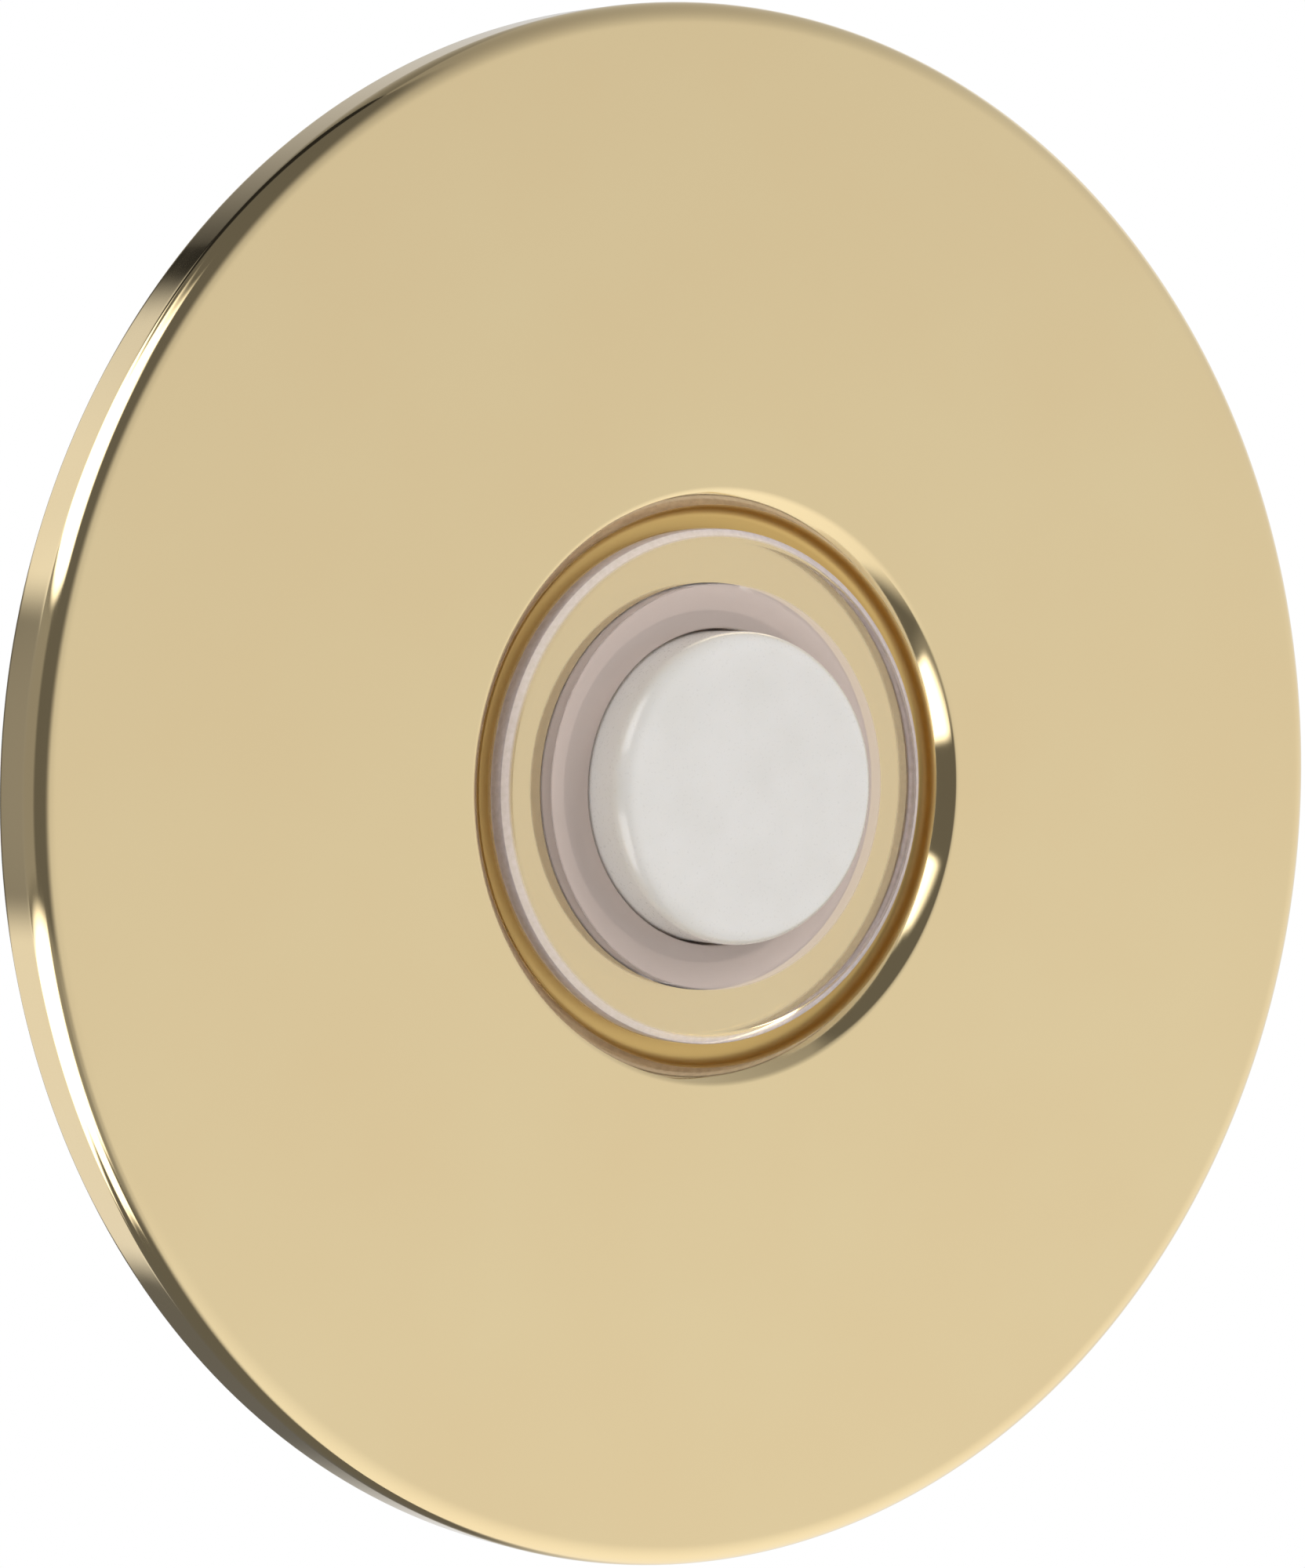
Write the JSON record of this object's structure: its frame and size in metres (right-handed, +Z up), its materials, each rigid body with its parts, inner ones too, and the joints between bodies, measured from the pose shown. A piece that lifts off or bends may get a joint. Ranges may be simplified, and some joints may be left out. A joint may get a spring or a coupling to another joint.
{
  "type": "doorbell push button",
  "caption": "Round recessed doorbell push button: polished brass plate, clear ring, sprung white button and a rear barrel with screw terminals.",
  "frame": {"origin": "centre of the plate's rim on the wall's face, on the button's axis", "axes": "+Z up, -Y out of the wall towards the person who presses, +Y along the barrel into the wall, +X to the right seen from the front"},
  "size_m": [0.0635, 0.031, 0.0634],
  "materials": {
    "polished_brass": "polished and lacquered",
    "clear_acrylic": "clear, polished mould",
    "white_button": "opal white, semi-gloss",
    "barrel_nylon": "natural nylon, moulded",
    "base_phenolic": "dark moulding compound",
    "holder_nylon": "white nylon, moulded",
    "spring_steel": "oiled spring steel",
    "contact_brass": "stamped, bare",
    "contact_silver": "silver",
    "lamp_clear": "clear epoxy",
    "tinned_wire": "tinned copper",
    "resistor_body": "beige coating",
    "plated_steel": "zinc plated"
  },
  "bodies": {
    "root": {"escutcheon_plate": "polished_brass", "lens_ring": "clear_acrylic", "barrel_housing": "barrel_nylon", "push_nut": "spring_steel", "return_spring": "spring_steel", "lamp": "lamp_clear", "lamp_holder": "holder_nylon", "lamp_lead_left": "tinned_wire", "lamp_lead_right": "tinned_wire", "resistor": "resistor_body", "contact_strip_right": "contact_brass", "contact_strip_left": "contact_brass", "contact_points": "contact_silver", "terminal_base": "base_phenolic", "terminal_plate_right": "contact_brass", "terminal_plate_left": "contact_brass", "terminal_rivets": "contact_brass", "terminal_washers": "plated_steel", "terminal_screws": "plated_steel"},
    "button": {"button_cap": "white_button", "contact_ring": "contact_brass"}
  },
  "joints": [
    {"name": "button_press", "type": "slide", "parent": "root", "child": "button", "axis": [0, 1, 0], "range_m": [0, 0.0012], "stiffness_N_per_m": 400, "springref_m": -0.004, "deforming": ["return_spring"]}
  ]
}
